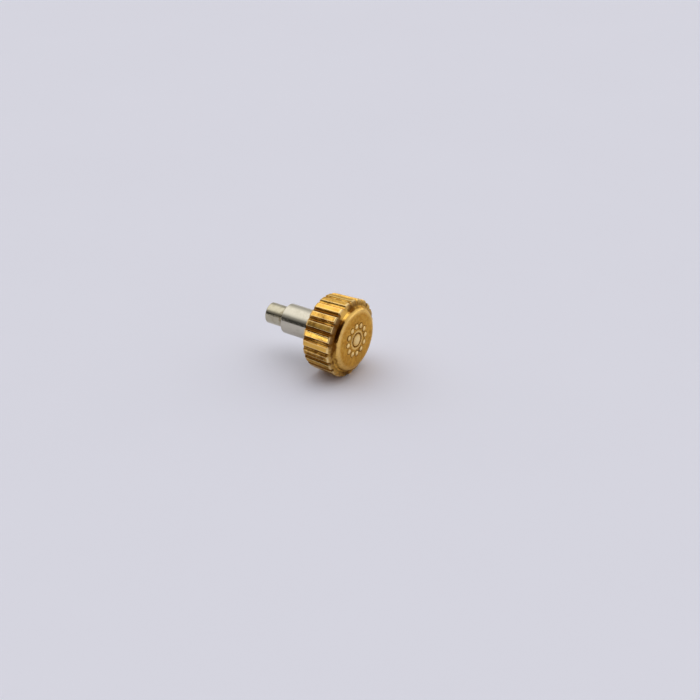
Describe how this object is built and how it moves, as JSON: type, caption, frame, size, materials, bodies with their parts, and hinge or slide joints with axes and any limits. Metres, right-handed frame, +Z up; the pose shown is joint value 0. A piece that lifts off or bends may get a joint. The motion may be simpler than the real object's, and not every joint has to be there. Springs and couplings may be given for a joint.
{
  "type": "watch crown",
  "caption": "Screw-down watch crown: fluted gold-plated head with a domed face, steel centre pipe and a sprung tenon tapped for the winding stem.",
  "frame": {"origin": "on the crown's axis, in the plane of the skirt's open end, inside the span of the pipe's outer wall", "axes": "+X along the axis towards the crown's domed face, +Z up with the crown lying on its flutes, one land straight below the axis"},
  "size_m": [0.007, 0.0054, 0.0053],
  "materials": {
    "gold_plate": "gold plate, polished flutes with tarnish in the grooves, satin face",
    "core_steel": "turned, plain",
    "gasket_rubber": "matt black",
    "washer_steel": "stamped, smooth",
    "pipe_steel": "fine turned",
    "bush_brass": "turned",
    "tenon_steel": "fine turned, warm tint",
    "spring_steel": "bright drawn wire"
  },
  "bodies": {
    "head": {"crown_cap": "gold_plate", "threaded_core": "core_steel", "sealing_gasket": "gasket_rubber", "gasket_washer": "washer_steel", "pipe": "pipe_steel", "retaining_bush": "bush_brass", "tenon_spring": "spring_steel"},
    "tenon": {"tenon": "tenon_steel"}
  },
  "joints": [
    {"name": "tenon_slide", "type": "slide", "parent": "head", "child": "tenon", "axis": [1, 0, 0], "range_m": [0, 0.0012], "stiffness_N_per_m": 900, "deforming": ["tenon_spring"]}
  ]
}
